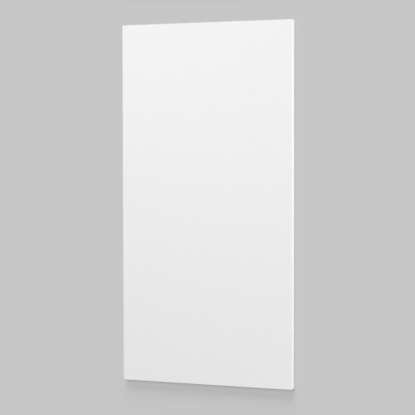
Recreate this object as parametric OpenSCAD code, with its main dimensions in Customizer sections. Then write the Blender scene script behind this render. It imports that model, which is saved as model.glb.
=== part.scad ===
// Expanded polystyrene (EPS) foam board: one plain sheet of rigid insulation.
//
// The sheet is sliced from a moulded block by hot wires, so its six faces are
// flat and its arrises are square. It lies flat on the floor, Z = 0, with its
// length along Y, its width along X and the origin under its centre.

/* [Sheet] */
// Length of the sheet, along Y
sheet_length = 1200; // [500:50:2500]
// Width of the sheet, along X
sheet_width = 600; // [300:50:1250]
// Thickness of the sheet, along Z
sheet_thickness = 25; // [10:5:200]

/* [Hidden] */

// The whole sheet is one piece of foam.
module foam_board() {
    color("white")
        translate([-sheet_width / 2, -sheet_length / 2, 0])
            cube([sheet_width, sheet_length, sheet_thickness]);
}

foam_board();
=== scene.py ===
import math
import bpy
import numpy as np
from mathutils import Matrix, Vector


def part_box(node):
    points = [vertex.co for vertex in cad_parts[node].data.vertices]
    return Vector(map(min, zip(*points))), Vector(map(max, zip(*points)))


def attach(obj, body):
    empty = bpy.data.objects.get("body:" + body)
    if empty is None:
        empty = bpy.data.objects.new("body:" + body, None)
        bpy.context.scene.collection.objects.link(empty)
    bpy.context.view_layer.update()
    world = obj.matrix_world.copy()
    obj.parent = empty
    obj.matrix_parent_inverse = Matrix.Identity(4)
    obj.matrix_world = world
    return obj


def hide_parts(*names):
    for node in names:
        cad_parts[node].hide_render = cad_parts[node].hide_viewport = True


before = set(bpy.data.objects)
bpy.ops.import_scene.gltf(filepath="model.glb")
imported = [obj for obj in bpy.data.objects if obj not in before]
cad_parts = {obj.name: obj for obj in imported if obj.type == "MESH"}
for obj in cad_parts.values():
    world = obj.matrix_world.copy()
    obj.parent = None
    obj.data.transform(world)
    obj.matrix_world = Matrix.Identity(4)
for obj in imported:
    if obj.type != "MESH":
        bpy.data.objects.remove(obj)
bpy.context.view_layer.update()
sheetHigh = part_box("foam_board")[1]
halfWidth = sheetHigh.x
halfLength = sheetHigh.y
thickness = sheetHigh.z
sheetSize = (2 * halfWidth, 2 * halfLength, thickness)
print("frame loaded: sheet", " x ".join(f"{side:.3f}" for side in sheetSize), "m")

# the foam sheet; lengths in metres, angles in degrees
foam = {
    "beadPitch": 0.0046,              # size of one fused bead
    "arrisMin": 0.00025,              # smallest rounding left on a wire-cut arris
    "arrisExtra": 0.00045,            # what a bead at the very edge may lose on top of that
    "arrisTurns": [90, 60, 30, 0],    # where the quarter circle of an arris has its rings
    "cornerEase": 0.0004,             # rounding of the four upright corners,
    "cornerReach": 0.001,             # and how far along a side it is felt
    "waves": [(7.1, 3.3), (-4.7, 9.9), (15.7, 12.1)],    # radians a metre, one way and the other
    "faceWave": 0.00012,              # slow unevenness of the big faces, always inwards
    "edgeWave": 0.00006,              # the same on the narrow faces,
    "edgeShorter": 2,                 # where the waves are this many times shorter
    "edgeThrough": 20,                # and run this many times faster through the thickness
    "wavePhase": {"upper": 0.3, "under": 1.9, "edge": 0.7},    # radians
    "stationsPerShortSide": 384,      # points along a short side; a long one has twice as many
    "sideSteps": 8,                   # rows of quads over the height of a narrow face
    "insets": [0.012, 0.006, 0.003, 0.0015],    # rings on the big faces, measured from the outline
    "halvings": 4,                    # how often the ring of points thins out towards the middle,
    "insetGrowth": 1.32,              # each time lying this many times further in
    "seed": 11,
    "mapGap": 0.004,                  # share of the UV square left free beside each face
    "mapUpright": 0.7,                # a face is a big one if its normal is more upright than this
}


def rectangleRing(inset, stations):
    # points spread evenly along each side of a rectangle that lies inset from the outline,
    # anticlockwise from the corner at -x, -y; the corners themselves are always points
    wide, long = halfWidth - inset, halfLength - inset
    corners = np.array([[-wide, -long], [wide, -long], [wide, long], [-wide, long], [-wide, -long]])
    counts = [stations, 2 * stations, stations, 2 * stations]
    sides = []
    for i, count in enumerate(counts):
        share = np.linspace(0, 1, count, endpoint=False)[:, None]
        sides.append(corners[i] + share * (corners[i + 1] - corners[i]))
    return np.concatenate(sides)


def beadScallops(distance, seed):
    # each bead along an arris has its own loss, which swells and fades as a squared sine
    rng = np.random.default_rng(seed)
    place = distance / foam["beadPitch"]
    bead = place.astype(int)
    loss = rng.random(bead.max() + 1)[bead]
    return foam["arrisMin"] + foam["arrisExtra"] * loss * np.sin(math.pi * (place - bead)) ** 2


def slowWave(a, b, depth, phase):
    # a sum of long sine waves, the first moved on by the phase, the next by twice the phase and so on;
    # the sum is then shifted and scaled so that it runs from 0 to depth
    waves = foam["waves"]
    total = sum(np.sin(p * a + q * b + (i + 1) * phase) for i, (p, q) in enumerate(waves))
    return depth * (total + len(waves)) / (2 * len(waves))


def rimRings():
    # a profile (upper face, arris, narrow face, arris, underside) carried round the outline; an arris is a
    # quarter circle whose radius is what the bead there has lost, and near an upright corner the outline
    # draws in by a bell curve of the distance to that corner
    outline = rectangleRing(0, foam["stationsPerShortSide"])
    count = len(outline)
    steps = np.linalg.norm(np.roll(outline, -1, axis=0) - outline, axis=1)
    distance = np.concatenate([[0], np.cumsum(steps)[:-1]])
    toCorner = np.abs(np.abs(outline) - [halfWidth, halfLength]).sum(axis=1)
    ease = foam["cornerEase"] * np.exp(-(toCorner / foam["cornerReach"]) ** 2)
    upper = beadScallops(distance, foam["seed"])
    lower = beadScallops(distance, foam["seed"] + 1)
    turns = np.radians(foam["arrisTurns"])
    heights = np.linspace(1, 0, foam["sideSteps"] + 1)[1:-1]
    # each row of the profile is how far in it lies and how high, for every station
    rows = [(np.full(count, inset), np.full(count, thickness)) for inset in foam["insets"]]
    rows += [(upper * (1 - math.cos(t)), thickness - upper * (1 - math.sin(t))) for t in turns]
    rows += [(np.zeros(count), lower + h * (thickness - upper - lower)) for h in heights]
    rows += [(lower * (1 - math.cos(t)), lower * (1 - math.sin(t))) for t in turns[::-1]]
    rows += [(np.full(count, inset), np.zeros(count)) for inset in foam["insets"][::-1]]
    alongX = foam["edgeShorter"] * outline[:, 0]
    alongY = foam["edgeShorter"] * outline[:, 1]
    rings = []
    for inset, z in rows:
        shiftedY = alongY + foam["edgeThrough"] * z
        wave = slowWave(alongX, shiftedY, foam["edgeWave"], foam["wavePhase"]["edge"])
        # a point keeps its share of its side, so each ring is a slightly smaller rectangle
        scale = 1 - (inset + wave + ease)[:, None] / [halfWidth, halfLength]
        rings.append(np.column_stack([outline * scale, z]))
    return rings


def settle(points):
    # each big face sinks by its slow wave; between the two, a point follows each by its share of the height
    share = points[:, 2] / thickness
    above = slowWave(points[:, 0], points[:, 1], foam["faceWave"], foam["wavePhase"]["upper"])
    below = slowWave(points[:, 1], points[:, 0], foam["faceWave"], foam["wavePhase"]["under"])
    settled = points.copy()
    settled[:, 2] += below * (1 - share) - above * share
    return settled


def quadsBetween(firstRing, secondRing, count):
    # one quad for each station, from a ring to the next
    here = np.arange(count)
    after = (here + 1) % count
    return np.column_stack([firstRing + here, secondRing + here, secondRing + after, firstRing + after])


def thinnedBetween(outerRing, innerRing, outerCount):
    # three triangles for each pair of stations, joining a ring to one with half as many points
    pair = np.arange(outerCount // 2)
    a = outerRing + 2 * pair
    b = outerRing + 2 * pair + 1
    c = outerRing + (2 * pair + 2) % outerCount
    d = innerRing + pair
    e = innerRing + (pair + 1) % (outerCount // 2)
    triangles = [np.column_stack(corners) for corners in ([a, b, d], [b, e, d], [b, c, e])]
    return np.concatenate(triangles)


def faceInside(rimStart, rimCount, start, inset, z):
    # thins the rim's last ring out step by step, then fills the middle with an even grid
    points, faces = [], []
    ring, count, stations = rimStart, rimCount, foam["stationsPerShortSide"]
    for _ in range(foam["halvings"]):
        stations //= 2
        inset *= foam["insetGrowth"]
        flat = rectangleRing(inset, stations)
        points.append(np.column_stack([flat, np.full(len(flat), z)]))
        faces.append(thinnedBetween(ring, start, count))
        ring, count = start, len(flat)
        start += len(flat)
    wide, long = halfWidth - inset, halfLength - inset
    across = np.linspace(-wide, wide, stations + 1)
    along = np.linspace(-long, long, 2 * stations + 1)
    x, y = np.meshgrid(across, along)
    inside = np.zeros(x.shape, bool)
    inside[1:-1, 1:-1] = True
    number = np.zeros(x.shape, int)
    number[inside] = start + np.arange(inside.sum())
    # the grid's border is the last ring, walked the same way round
    number[0, :-1] = ring + np.arange(stations)
    number[:-1, -1] = ring + stations + np.arange(2 * stations)
    number[-1, :0:-1] = ring + 3 * stations + np.arange(stations)
    number[:0:-1, 0] = ring + 4 * stations + np.arange(2 * stations)
    points.append(np.column_stack([x[inside], y[inside], np.full(inside.sum(), z)]))
    cells = np.stack([number[:-1, :-1], number[:-1, 1:], number[1:, 1:], number[1:, :-1]], axis=-1)
    return points, faces, cells.reshape(-1, 4)


def sheetShell():
    # one closed shell: the rim's rings joined up, then the upper face inside the first ring and
    # the underside inside the last, whose faces are turned over
    rings = rimRings()
    count = len(rings[0])
    quads = [quadsBetween(i * count, (i + 1) * count, count) for i in range(len(rings) - 1)]
    start = len(rings) * count
    inset = foam["insets"][0]
    topPoints, topTriangles, topCells = faceInside(0, count, start, inset, thickness)
    start += sum(len(p) for p in topPoints)
    last = (len(rings) - 1) * count
    lowPoints, lowTriangles, lowCells = faceInside(last, count, start, inset, 0.0)
    points = settle(np.concatenate(rings + topPoints + lowPoints))
    triangles = topTriangles + [t[:, ::-1] for t in lowTriangles]
    quads = np.concatenate(quads + [topCells, lowCells[:, ::-1]])
    return points, quads, np.concatenate(triangles)


def bakeMap(mesh):
    # lays the six faces side by side at one scale: upper face, underside, then three columns of narrow
    # faces; two widths, three thicknesses and six gaps fill the square from left to right
    gap = foam["mapGap"]
    scale = (1 - 6 * gap) / (4 * halfWidth + 3 * thickness)
    corner = np.empty(len(mesh.loops), np.int32)
    mesh.loops.foreach_get("vertex_index", corner)
    place = np.empty(3 * len(mesh.vertices), np.float32)
    mesh.vertices.foreach_get("co", place)
    x, y, z = place.reshape(-1, 3)[corner].T + np.array([[halfWidth], [halfLength], [0]])
    normal = np.empty(3 * len(mesh.polygons), np.float32)
    mesh.polygons.foreach_get("normal", normal)
    sides = np.empty(len(mesh.polygons), np.int32)
    mesh.polygons.foreach_get("loop_total", sides)
    nx, ny, nz = np.repeat(normal.reshape(-1, 3), sides, axis=0).T
    flat = np.abs(nz) > foam["mapUpright"]
    long = ~flat & (np.abs(nx) > np.abs(ny))
    short = ~flat & ~long
    column = 2 * halfWidth * scale + gap
    strip = thickness * scale + gap
    edges = 2 * column + gap
    places = [gap + x * scale, gap + column + x * scale, edges + z * scale, edges + strip + z * scale]
    u = np.select([flat & (nz > 0), flat, long & (nx > 0), long], places, edges + 2 * strip + z * scale)
    v = gap + np.where(short, x, y) * scale + np.where(short & (ny > 0), column, 0)
    layer = mesh.uv_layers.new(name="OFBake")
    layer.uv.foreach_set("vector", np.column_stack([u, v]).astype(np.float32).ravel())


# the finish of the foam; noise scales are in swings a metre
finish = {
    "white": (0.870, 0.870, 0.870),
    "beadScatter": 0.85,      # how irregularly the beads lie, from 0 in rows to 1 at random
    "warpScale": 150.0,       # the pattern is bent by a soft noise of this scale,
    "warpDepth": 0.0018,      # by at most half of this each way, in metres
    "beadTone": 0.010,        # how much beads differ from each other in brightness
    "seamShade": 0.032,       # how much darker the seam between two beads is
    "seamWidth": 0.07,        # share of a bead that its seam takes
    "seamFaint": 0.25,        # a seam's strength runs from this, where beads fused well, to 1
    "fuseScale": 120.0,       # scale of the soft noise that says how well they fused,
    "fuseFrom": 0.38,         # poorly below this value of it
    "fuseTo": 0.62,           # and well above this one
    "pitPaintedShade": 0.065,        # painted shade: how much darker the colour is in the pits, hollows where three or more beads meet
    "pitBlur": 0.3,           # blur of the pattern that they are found with
    "pitStart": 0.030,        # how far the blurred pattern must differ for a pit to begin,
    "pitFull": 0.046,         # and to be at its deepest
    "roughness": 0.66,
    "seamRough": 0.14,        # how much rougher a full seam is
    "toneRough": 3.0,         # how much rougher a bead is, for each unit of its own tone
    "relief": 0.00012,        # depth of a full seam, in metres; the heights below are in reliefs
    "beadDome": 0.5,          # how far a bead falls off, one bead size from its middle
    "beadTilt": 1.8,          # how far a bead's cut face leans its own way, across a bead
    "grainScale": 2200.0,     # scale of the fine grain on every bead
    "grainHeight": 0.15,
    "softDetail": 1.0,        # octaves of the two soft noises,
    "grainDetail": 2.0,       # and of the grain
}
meanColour = (0.5, 0.5, 0.5)  # what random colours average to


def node(tree, kind, inputs=None, **settings):
    # adds a node, sets its properties, and fills or links its inputs
    made = tree.nodes.new(kind)
    for name, value in settings.items():
        setattr(made, name, value)
    for name, value in (inputs or {}).items():
        if isinstance(value, bpy.types.NodeSocket):
            tree.links.new(value, made.inputs[name])
        else:
            made.inputs[name].default_value = value
    return made


def maths(tree, operation, a, b):
    # one step of arithmetic on two numbers
    return node(tree, "ShaderNodeMath", {0: a, 1: b}, operation=operation).outputs[0]


def vectors(tree, operation, a, b, output="Vector"):
    # one step of arithmetic on two vectors, or on a vector and the factor that scales it
    second = "Scale" if operation == "SCALE" else 1
    return node(tree, "ShaderNodeVectorMath", {0: a, second: b}, operation=operation).outputs[output]


def ramp(tree, value, low, high, atLow, atHigh):
    # a smooth step from one value to another
    inputs = {"Value": value, "From Min": low, "From Max": high, "To Min": atLow, "To Max": atHigh}
    return node(tree, "ShaderNodeMapRange", inputs, interpolation_type="SMOOTHSTEP").outputs["Result"]


def beadPattern(tree, where):
    # beads are the cells of a solid pattern, so they run on over every arris as in a cut block
    bend = {"Vector": where, "Scale": finish["warpScale"], "Detail": finish["softDetail"]}
    warp = node(tree, "ShaderNodeTexNoise", bend).outputs["Color"]
    moved = vectors(tree, "SCALE", vectors(tree, "SUBTRACT", warp, meanColour), finish["warpDepth"])
    place = vectors(tree, "ADD", where, moved)
    return {"Vector": place, "Scale": 1 / foam["beadPitch"], "Randomness": finish["beadScatter"]}


def seamStrength(tree, where, cells):
    # a seam is full at the border of a bead and fades across its width, and it is fainter in some places
    border = node(tree, "ShaderNodeTexVoronoi", cells, feature="DISTANCE_TO_EDGE").outputs["Distance"]
    patches = {"Vector": where, "Scale": finish["fuseScale"], "Detail": finish["softDetail"]}
    fused = node(tree, "ShaderNodeTexNoise", patches).outputs[0]
    strength = ramp(tree, fused, finish["fuseFrom"], finish["fuseTo"], 1.0, finish["seamFaint"])
    return maths(tree, "MULTIPLY", ramp(tree, border, 0.0, finish["seamWidth"], 1.0, 0.0), strength)


def pitStrength(tree, cells, distance):
    # where three beads meet, the blurred distance to the nearest bead falls furthest below the sharp one
    soft = {**cells, "Smoothness": finish["pitBlur"]}
    blurred = node(tree, "ShaderNodeTexVoronoi", soft, feature="SMOOTH_F1").outputs["Distance"]
    meeting = maths(tree, "SUBTRACT", distance, blurred)
    return ramp(tree, meeting, finish["pitStart"], finish["pitFull"], 0.0, 1.0)


def beadLean(tree, place, bead):
    # a bead leans by the dot product of its own random direction and the way from its middle
    fromMiddle = vectors(tree, "SUBTRACT", place, bead.outputs["Position"])
    lean = vectors(tree, "SUBTRACT", bead.outputs["Color"], meanColour)
    tilt = vectors(tree, "DOT_PRODUCT", fromMiddle, lean, "Value")
    return maths(tree, "MULTIPLY", tilt, finish["beadTilt"] / foam["beadPitch"])


def beadFoam():
    # colour: white x (1 + tone - seam - pit), the pit term being painted shade in the hollows; roughness: a
    # base, more in a seam and on a bright bead; height: the bead's dome and lean, less its seam and pit,
    # plus a fine grain
    material = bpy.data.materials.new("white_bead_foam")
    material.use_nodes = True
    tree = material.node_tree
    shader = tree.nodes["Principled BSDF"]
    where = node(tree, "ShaderNodeTexCoord").outputs["Object"]
    cells = beadPattern(tree, where)
    bead = node(tree, "ShaderNodeTexVoronoi", cells, feature="F1")
    distance = bead.outputs["Distance"]
    seam = seamStrength(tree, where, cells)
    pit = pitStrength(tree, cells, distance)
    red = node(tree, "ShaderNodeSeparateColor", {"Color": bead.outputs["Color"]}).outputs["Red"]
    tone = maths(tree, "MULTIPLY", maths(tree, "SUBTRACT", red, meanColour[0]), finish["beadTone"])
    bright = maths(tree, "ADD", tone, 1.0)
    shade = maths(tree, "SUBTRACT", bright, maths(tree, "MULTIPLY", seam, finish["seamShade"]))
    # painted shade: the pits are darkened in the colour as well as sunk in the height
    shade = maths(tree, "SUBTRACT", shade, maths(tree, "MULTIPLY", pit, finish["pitPaintedShade"]))
    tree.links.new(vectors(tree, "SCALE", finish["white"], shade), shader.inputs["Base Color"])
    rough = maths(tree, "ADD", maths(tree, "MULTIPLY", seam, finish["seamRough"]), finish["roughness"])
    rough = maths(tree, "ADD", rough, maths(tree, "MULTIPLY", tone, finish["toneRough"]))
    tree.links.new(rough, shader.inputs["Roughness"])
    tilt = beadLean(tree, cells["Vector"], bead)
    dome = maths(tree, "ADD", maths(tree, "MULTIPLY", distance, -finish["beadDome"]), tilt)
    fine = {"Vector": where, "Scale": finish["grainScale"], "Detail": finish["grainDetail"]}
    grain = node(tree, "ShaderNodeTexNoise", fine).outputs[0]
    height = maths(tree, "SUBTRACT", dome, maths(tree, "ADD", seam, pit))
    height = maths(tree, "ADD", height, maths(tree, "MULTIPLY", grain, finish["grainHeight"]))
    bump = node(tree, "ShaderNodeBump", {"Height": height, "Distance": finish["relief"], "Strength": 1.0})
    tree.links.new(bump.outputs["Normal"], shader.inputs["Normal"])
    return material


points, quads, triangles = sheetShell()
mesh = bpy.data.meshes.new("foamSheet")
mesh.from_pydata(points.tolist(), [], quads.tolist() + triangles.tolist())
mesh.shade_smooth()
mesh.update()
bakeMap(mesh)
sheet = bpy.data.objects.new("foam_sheet", mesh)
bpy.context.scene.collection.objects.link(sheet)
sheet.data.materials.append(beadFoam())
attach(sheet, "root")
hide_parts("foam_board")
print("foam sheet built:", len(points), "points,", 2 * len(quads) + len(triangles), "triangles")

# the studio: floor, sky, suns and lamps; a sun's level is what it adds to a level face, as a share of white
studio = {
    "background": 0.5615,     # the sky's brightness, and what the floor comes out at
    "floorHalf": 60.0,        # metres from the middle of the floor to its sides
    "shadowColour": 0.2,      # the camera sees a floor this dark, with a steady brightness added to it
    "sheetSuns": {            # compass angle from +X towards +Y, height above the floor, softness: degrees
        "key": {"compass": 80, "height": 18, "softness": 26, "level": 0.065},
        "side": {"compass": 0, "height": 12, "softness": 25, "level": 0.057},
        "fill": {"compass": -130, "height": 12, "softness": 24, "level": 0.07},
    },
    "floorSuns": {            # these two draw the sheet's shadow, long and soft, and darker where it touches
        "shade": {"compass": 90, "height": 26, "softness": 32, "level": 0.46},
        "contact": {"compass": 90, "height": 70, "softness": 22, "level": 0.6},
    },
    "lamps": {                # square lamps for the sheet alone, in metres and watts
        # makes the upper face fade gently from its +Y end
        "end": {"place": (-0.3, 0.9, 2.0), "aim": (-0.3, 0.9, 0.0), "size": 0.6, "power": 12.25},
        # brightens the +X edge, most in its +Y half
        "edge": {"place": (1.6, 0.4, 0.25), "aim": (0.3, 0.1, 0.0), "size": 0.3, "power": 4.95},
        # lifts the corner at +X and -Y a little
        "foot": {"place": (0.8, -0.8, 0.8), "aim": (0.3, -0.6, 0.0), "size": 0.5, "power": 0.44},
    },
}


def greyMatt(tree, level):
    # a plain matt surface that gives back this share of the light
    return node(tree, "ShaderNodeBsdfDiffuse", {"Color": (level, level, level, 1)}).outputs[0]


def buildFloor():
    # rays that bounce off the sheet meet a plain matt floor, its colour the background over the light on it;
    # the camera, and any reflection, sees a darker one under a steady brightness that makes up the
    # difference, so a lit edge throws little glow on it
    far = studio["floorHalf"]
    light = studio["background"] + sum(sun["level"] for sun in studio["floorSuns"].values())
    plainColour = studio["background"] / light
    steady = studio["background"] - studio["shadowColour"] * light
    corners = [(-far, -far, 0), (far, -far, 0), (far, far, 0), (-far, far, 0)]
    floorMesh = bpy.data.meshes.new("studioFloor")
    floorMesh.from_pydata(corners, [], [(0, 1, 2, 3)])
    floor = bpy.data.objects.new("studio_floor", floorMesh)
    bpy.context.scene.collection.objects.link(floor)
    material = bpy.data.materials.new("studio_grey")
    material.use_nodes = True
    tree = material.node_tree
    tree.nodes.clear()
    plain = greyMatt(tree, plainColour)
    glow = node(tree, "ShaderNodeEmission", {"Strength": steady}).outputs[0]
    dark = greyMatt(tree, studio["shadowColour"])
    shown = node(tree, "ShaderNodeAddShader", {0: dark, 1: glow}).outputs[0]
    ray = node(tree, "ShaderNodeLightPath").outputs
    seen = maths(tree, "MAXIMUM", ray["Is Glossy Ray"], ray["Is Transmission Ray"])
    seen = maths(tree, "MAXIMUM", ray["Is Camera Ray"], seen)
    surface = node(tree, "ShaderNodeMixShader", {0: seen, 1: plain, 2: shown}).outputs[0]
    node(tree, "ShaderNodeOutputMaterial", {"Surface": surface})
    material.cycles.emission_sampling = "NONE"
    floorMesh.materials.append(material)
    return floor


def buildSky():
    # the sky is as bright as the floor, so the two meet without a line
    world = bpy.data.worlds.new("studioSky")
    bpy.context.scene.world = world
    world.use_nodes = True
    tree = world.node_tree
    tree.nodes.clear()
    white = {"Color": (1, 1, 1, 1), "Strength": studio["background"]}
    sky = node(tree, "ShaderNodeBackground", white).outputs[0]
    node(tree, "ShaderNodeOutputWorld", {"Surface": sky})


def placeLight(name, data, towards, place, receiver):
    # hangs a light that shines back along the direction given, on the sheet alone or on the floor alone
    light = bpy.data.objects.new(name, data)
    bpy.context.scene.collection.objects.link(light)
    light.location = place
    light.rotation_euler = towards.to_track_quat("Z", "Y").to_euler()
    light.visible_camera = False
    light.visible_glossy = False
    light.light_linking.receiver_collection = receivers[receiver]


def softSun(name, settings, receiver):
    # a level face gets strength x sine of the height, over pi, so the strength is worked back from the level
    compass, height = math.radians(settings["compass"]), math.radians(settings["height"])
    data = bpy.data.lights.new(name, "SUN")
    data.energy = settings["level"] * math.pi / math.sin(height)
    data.angle = math.radians(settings["softness"])
    flat = math.cos(height)
    towards = Vector((math.cos(compass) * flat, math.sin(compass) * flat, math.sin(height)))
    placeLight(name, data, towards, (0, 0, 0), receiver)


def squareLamp(name, settings):
    # a square lamp that hangs at its place and faces the point it is aimed at
    data = bpy.data.lights.new(name, "AREA")
    data.size = settings["size"]
    data.energy = settings["power"]
    place = Vector(settings["place"])
    placeLight(name, data, place - Vector(settings["aim"]), place, "sheet")


receivers = {name: bpy.data.collections.new(name + "Light") for name in ("sheet", "floor")}
receivers["sheet"].objects.link(sheet)
receivers["floor"].objects.link(buildFloor())
buildSky()
for sunName, sunSettings in studio["sheetSuns"].items():
    softSun(sunName, sunSettings, "sheet")
for sunName, sunSettings in studio["floorSuns"].items():
    softSun(sunName, sunSettings, "floor")
for lampName, lampSettings in studio["lamps"].items():
    squareLamp(lampName, lampSettings)

# where the camera stands; with no swing, lean or roll it is straight above and +Y is up in the picture
viewpoint = {
    "sensor": 36.0,               # mm across
    "lens": 121.6,                # mm
    "aim": (0.0073, -0.0104),     # the place on the upper face that it looks at, in metres
    "distance": 4.639,            # metres from there
    "swing": 21.34,               # degrees towards +X
    "lean": 2.25,                 # degrees towards +Y
    "roll": 0.09,                 # degrees
}


def placeCamera():
    # turns about the sheet's length, then its width, then the line of sight, and backs off along that line
    swing = Matrix.Rotation(math.radians(viewpoint["swing"]), 4, "Y")
    lean = Matrix.Rotation(math.radians(-viewpoint["lean"]), 4, "X")
    roll = Matrix.Rotation(math.radians(-viewpoint["roll"]), 4, "Z")
    turn = swing @ lean @ roll
    aim = Vector((*viewpoint["aim"], thickness))
    eye = aim + viewpoint["distance"] * (turn @ Vector((0, 0, 1)))
    data = bpy.data.cameras.new("studioCamera")
    data.sensor_width = viewpoint["sensor"]
    data.lens = viewpoint["lens"]
    camera = bpy.data.objects.new("studioCamera", data)
    bpy.context.scene.collection.objects.link(camera)
    camera.matrix_world = Matrix.Translation(eye) @ turn
    bpy.context.scene.camera = camera


placeCamera()
bpy.context.scene.view_settings.view_transform = "Standard"
print("camera placed")
